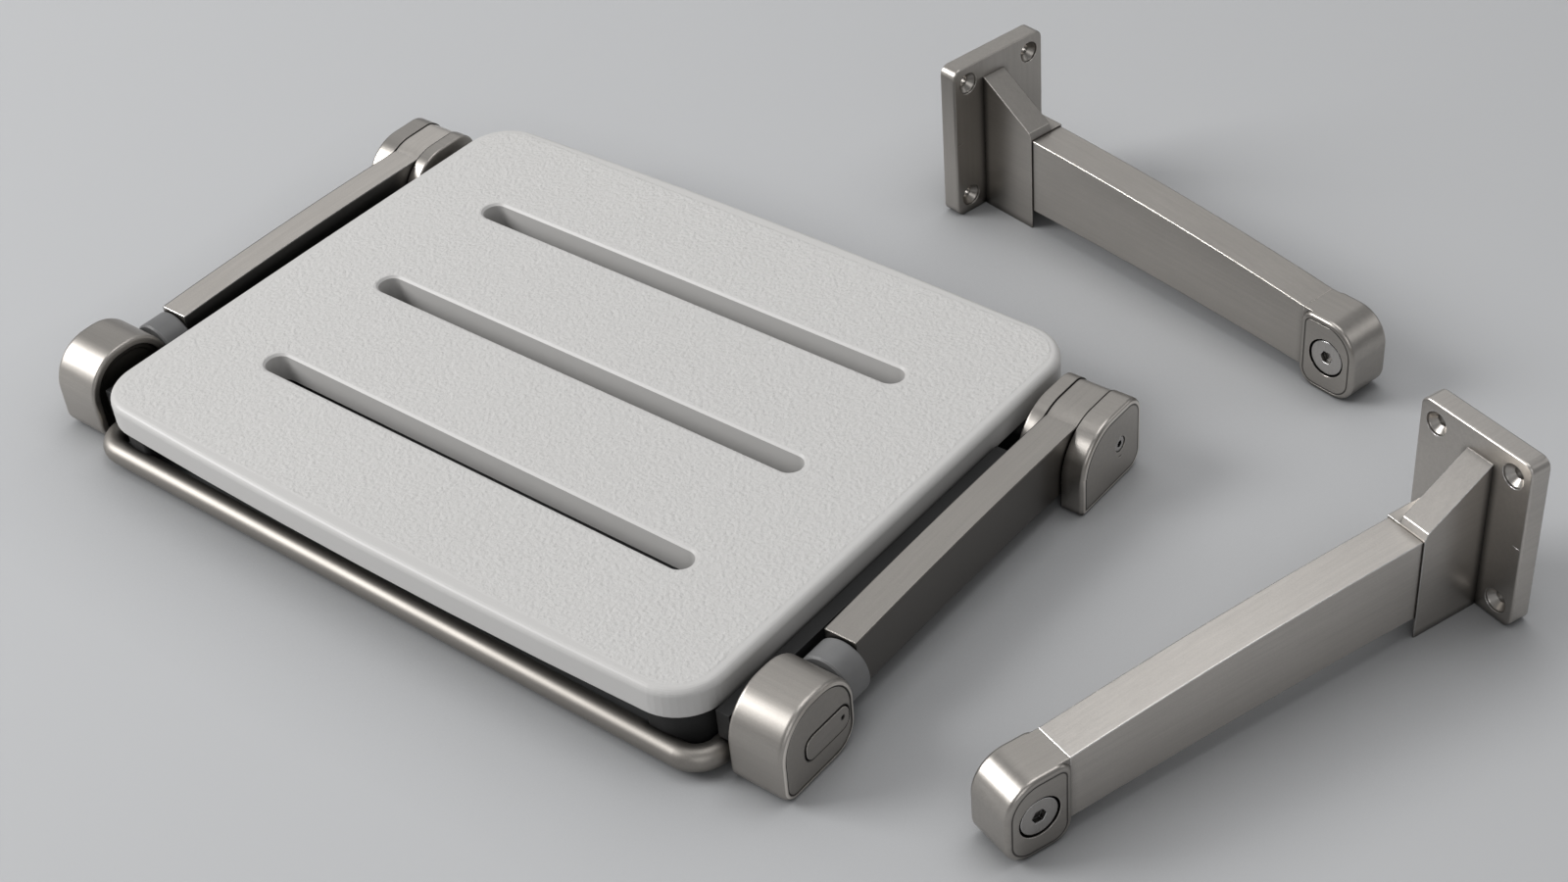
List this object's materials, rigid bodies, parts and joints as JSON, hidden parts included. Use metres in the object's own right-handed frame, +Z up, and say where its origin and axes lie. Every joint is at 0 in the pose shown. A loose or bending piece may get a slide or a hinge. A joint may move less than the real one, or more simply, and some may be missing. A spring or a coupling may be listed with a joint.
{
  "type": "fold down wall seat",
  "caption": "Slatted fold down seat on hinged side arms with a tube frame, release buttons and two loose wall brackets.",
  "frame": {"origin": "middle of the tie bar underside on the floor plane, straight below the fold axis", "axes": "+X along the fold axis to the seat right-hand side, +Y toward the wall, +Z up"},
  "size_m": [0.7818, 0.5503, 0.106],
  "materials": {
    "satin_nickel": "fine lengthwise brushing, satin, softly rounded bright edges",
    "slab_plastic": "off-white with an orange-peel grain and a smooth border",
    "sleeve_rubber": "smooth dark grey",
    "black_rubber": "near-black, matt",
    "black_rail": "near-black powder coat",
    "dark_frame": "dark grey powder coat",
    "dark_lid": "near-black moulded panel",
    "bearing_polymer": "plain bearing polymer",
    "plain_steel": "plain turned steel",
    "bolt_steel": "turned head, satin"
  },
  "bodies": {
    "wall_hinge": {"hinge_housing_left": "satin_nickel", "hinge_housing_right": "satin_nickel", "hinge_cheek_left": "satin_nickel", "hinge_cheek_right": "satin_nickel", "hinge_hub_left": "plain_steel", "hinge_hub_right": "plain_steel", "pivot_screw_left": "bolt_steel", "pivot_screw_right": "bolt_steel", "tie_bar": "dark_frame", "tie_screws": "plain_steel"},
    "seat": {"seat_slab": "slab_plastic", "slab_screws": "plain_steel", "front_bar": "satin_nickel", "rear_bar": "dark_frame", "cross_bars": "dark_frame", "corner_pads": "black_rubber", "rail_left": "black_rail", "rail_right": "black_rail", "rail_screws": "plain_steel", "side_arm_left": "satin_nickel", "side_arm_right": "satin_nickel", "bush_left": "bearing_polymer", "bush_right": "bearing_polymer", "sleeve_left": "sleeve_rubber", "sleeve_right": "sleeve_rubber", "front_housing_left": "satin_nickel", "front_housing_right": "satin_nickel", "housing_lid_left": "dark_lid", "housing_lid_right": "dark_lid", "rod_spring_left": "plain_steel", "rod_spring_right": "plain_steel"},
    "button_left": {"button_left": "satin_nickel"},
    "button_right": {"button_right": "satin_nickel"},
    "rod_left": {"push_rod_left": "plain_steel", "brake_shoe_left": "bearing_polymer"},
    "rod_right": {"push_rod_right": "plain_steel", "brake_shoe_right": "bearing_polymer"},
    "bracket_a": {"wall_plate_a": "satin_nickel", "wall_socket_a": "satin_nickel", "wall_arm_a": "satin_nickel", "wall_nose_a": "satin_nickel", "nose_bolt_a": "bolt_steel", "nose_nut_a": "plain_steel"},
    "bracket_b": {"wall_plate_b": "satin_nickel", "wall_socket_b": "satin_nickel", "wall_arm_b": "satin_nickel", "wall_nose_b": "satin_nickel", "nose_bolt_b": "bolt_steel", "nose_nut_b": "plain_steel"}
  },
  "joints": [
    {"name": "fold", "type": "hinge", "parent": "wall_hinge", "child": "seat", "pos_m": [0, 0, 0.0264], "axis": [-1, 0, 0], "range_deg": [0, 90]},
    {"name": "button_left_press", "type": "slide", "parent": "seat", "child": "button_left", "axis": [1, 0, 0], "range_m": [0, 0.003], "stiffness_N_per_m": 900, "springref_m": -0.004},
    {"name": "rod_left_draw", "type": "slide", "parent": "seat", "child": "rod_left", "axis": [0, -1, 0], "range_m": [0, 0.0015]},
    {"name": "button_right_press", "type": "slide", "parent": "seat", "child": "button_right", "axis": [-1, 0, 0], "range_m": [0, 0.003], "stiffness_N_per_m": 900, "springref_m": -0.004},
    {"name": "rod_right_draw", "type": "slide", "parent": "seat", "child": "rod_right", "axis": [0, -1, 0], "range_m": [0, 0.0015]},
    {"name": "bracket_a_lift", "type": "slide", "parent": "wall_hinge", "child": "bracket_a", "axis": [0, 0, 1], "range_m": [0, 0.15]},
    {"name": "bracket_b_lift", "type": "slide", "parent": "wall_hinge", "child": "bracket_b", "axis": [0, 0, 1], "range_m": [0, 0.15]}
  ],
  "couplings": [
    {"joint": "rod_left_draw", "follows": "button_left_press", "ratio": 0.5},
    {"joint": "rod_right_draw", "follows": "button_right_press", "ratio": 0.5}
  ]
}
